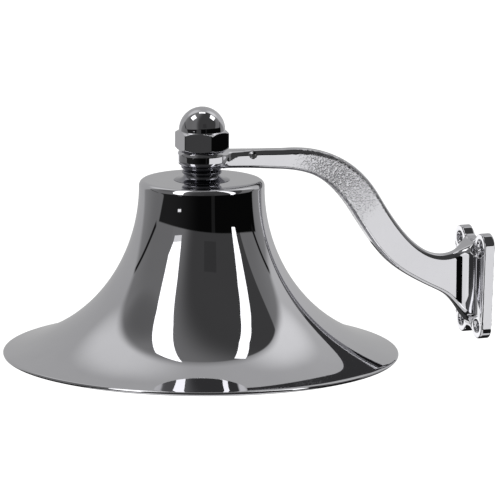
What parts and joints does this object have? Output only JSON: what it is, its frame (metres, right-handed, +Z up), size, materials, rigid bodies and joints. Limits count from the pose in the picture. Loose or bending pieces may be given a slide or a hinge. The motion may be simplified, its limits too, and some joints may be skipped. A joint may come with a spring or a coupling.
{
  "type": "wall bracket bell",
  "caption": "Chrome ship's bell, strongly flared, hung by a cap nut under an S-shaped cast wall bracket, with a free-swinging clapper inside.",
  "frame": {"origin": "centre of the wall plate's back face", "axes": "+X into the wall, out of the plate's back face; +Z up; the bell hangs on a vertical axis 156 mm out on -X"},
  "size_m": [0.2576, 0.2032, 0.1433],
  "materials": {
    "polished_chrome": "mirror-polished chrome plate",
    "plated_steel": "bright plated steel, lightly worn",
    "black_rubber": "matt black rubber"
  },
  "bodies": {
    "root": {"bracket": "polished_chrome", "bell_shell": "polished_chrome", "neck_collar": "polished_chrome", "eye_washer": "polished_chrome", "acorn_nut": "polished_chrome", "hanger_stud": "plated_steel", "crown_gasket": "black_rubber", "crown_washer": "plated_steel", "lock_washer": "plated_steel", "crown_nut": "plated_steel"},
    "link": {"clapper_link": "plated_steel"},
    "clapper": {"clapper_rod": "polished_chrome", "clapper_ball": "polished_chrome", "clapper_jam_nut": "plated_steel"}
  },
  "joints": [
    {"name": "clapper_swing", "type": "hinge", "parent": "root", "child": "link", "pos_m": [-0.156, 0, 0.03505], "axis": [0, 1, 0], "range_deg": [-45, 45]},
    {"name": "clapper_sway", "type": "hinge", "parent": "link", "child": "clapper", "pos_m": [-0.156, 0, 0.0226], "axis": [1, 0, 0], "range_deg": [-10, 10]}
  ]
}
